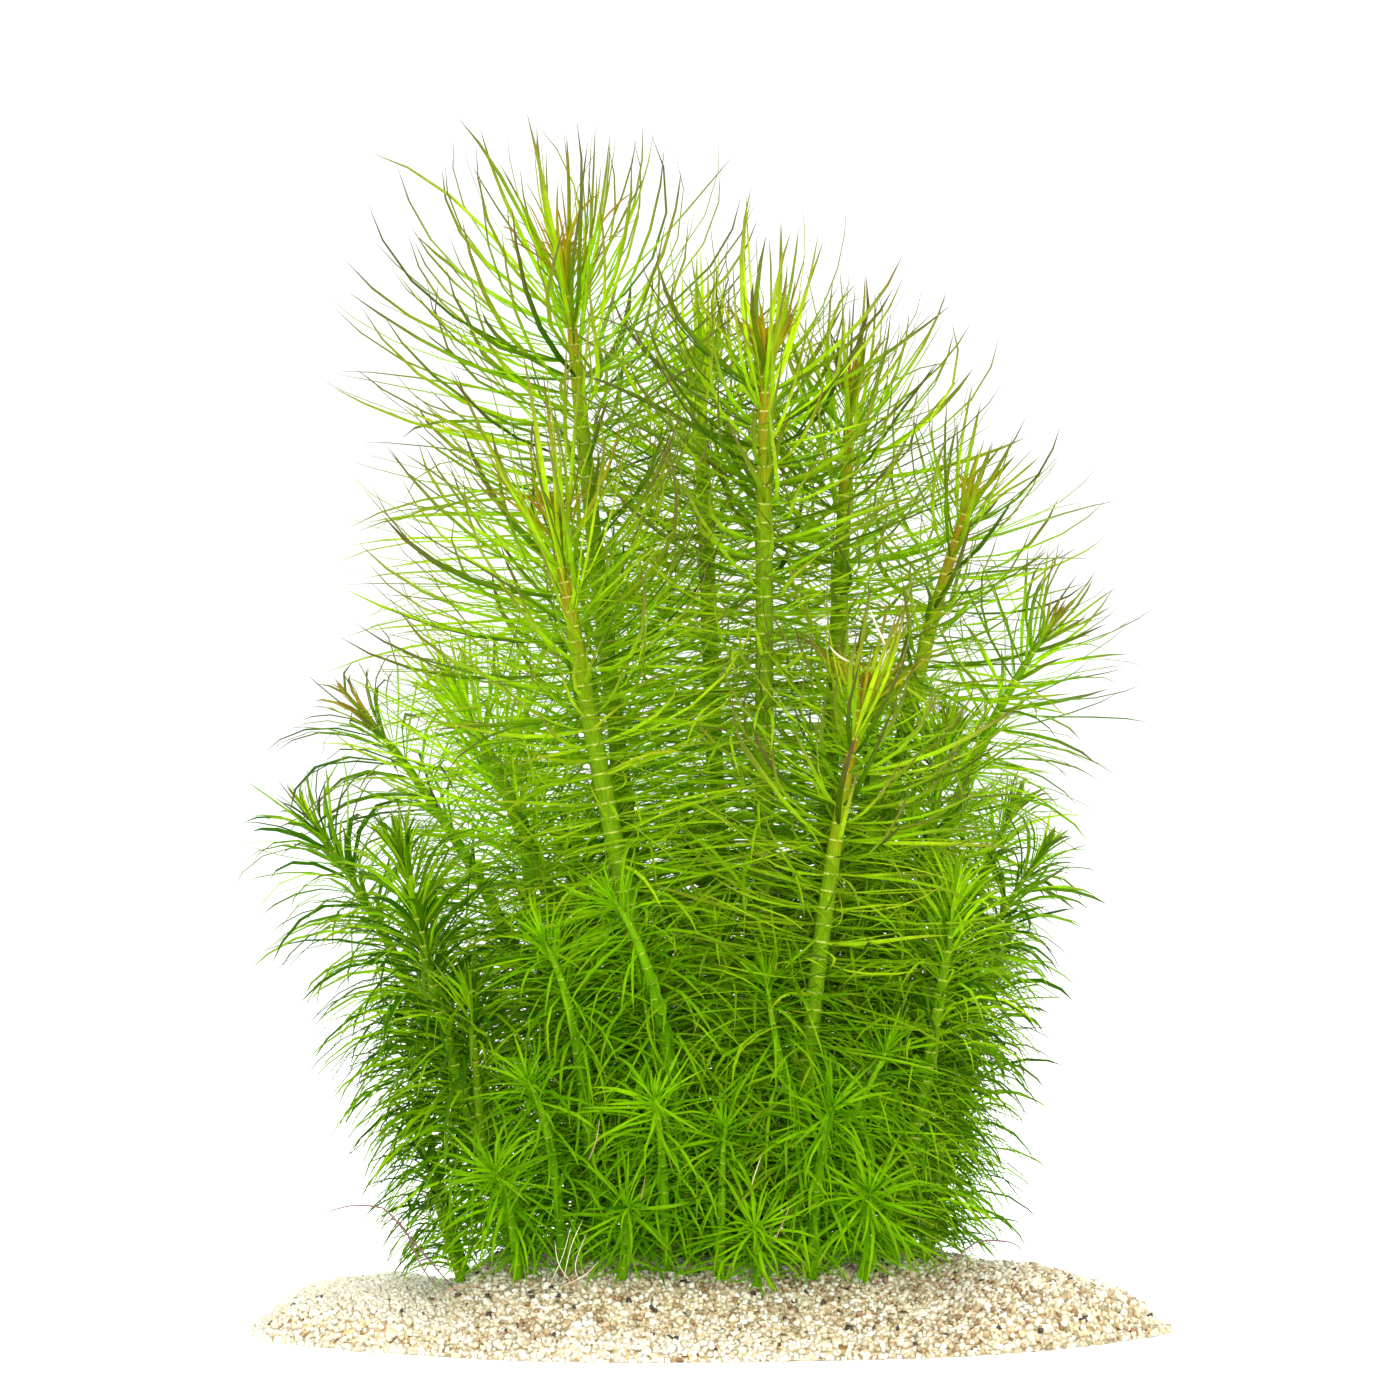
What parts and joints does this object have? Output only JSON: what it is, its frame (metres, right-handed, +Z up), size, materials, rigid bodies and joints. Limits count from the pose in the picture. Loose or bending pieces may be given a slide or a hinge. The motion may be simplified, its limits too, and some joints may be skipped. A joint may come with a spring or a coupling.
{
  "type": "water plant clump",
  "caption": "Bushy clump of an upright water plant: leafy stems ringed with fine needle leaves, tall in the middle and low at the edges, rooted in a low mound of pale gravel.",
  "frame": {"origin": "middle of the gravel bed's flat underside", "axes": "+Z up along the tallest stems, +X to the right of the picture, +Y away from the camera"},
  "size_m": [0.2335, 0.1651, 0.3093],
  "materials": {
    "gravel": "pale quartz gravel, cream and beige grains with a few tan, grey and black ones",
    "tall_shoots": "fresh green stems and leaves, copper-brown in the growing tips",
    "low_shoots": "mid to dark green stems and leaves",
    "star_shoots": "bright lime green leaves"
  },
  "bodies": {
    "root": {"gravel_bed": "gravel", "tall_left": "tall_shoots", "tall_front_left": "tall_shoots", "tall_centre": "tall_shoots", "tall_right": "tall_shoots", "tall_back": "tall_shoots", "lean_right": "tall_shoots", "front_right": "tall_shoots", "far_right": "low_shoots", "mid_left": "low_shoots", "far_left": "low_shoots", "low_left": "low_shoots", "dense_left": "low_shoots", "front_far_right": "low_shoots", "low_right": "low_shoots", "back_far_right": "low_shoots", "mid_right": "low_shoots", "edge_left": "low_shoots", "foot_left": "low_shoots", "edge_right": "low_shoots", "foot_right": "low_shoots", "back_tall_left": "low_shoots", "back_left": "low_shoots", "back_far_left": "low_shoots", "back_right": "low_shoots", "back_low_right": "low_shoots", "star_high": "star_shoots", "star_left": "star_shoots", "star_middle": "star_shoots", "star_small": "star_shoots", "star_right": "star_shoots", "star_low_left": "star_shoots", "star_low_centre": "star_shoots", "star_low_right": "star_shoots", "star_low_mid": "star_shoots", "star_side_left": "star_shoots", "back_star_left": "star_shoots", "back_star_centre": "star_shoots", "back_star_right": "star_shoots", "back_star_side": "star_shoots"}
  },
  "joints": []
}
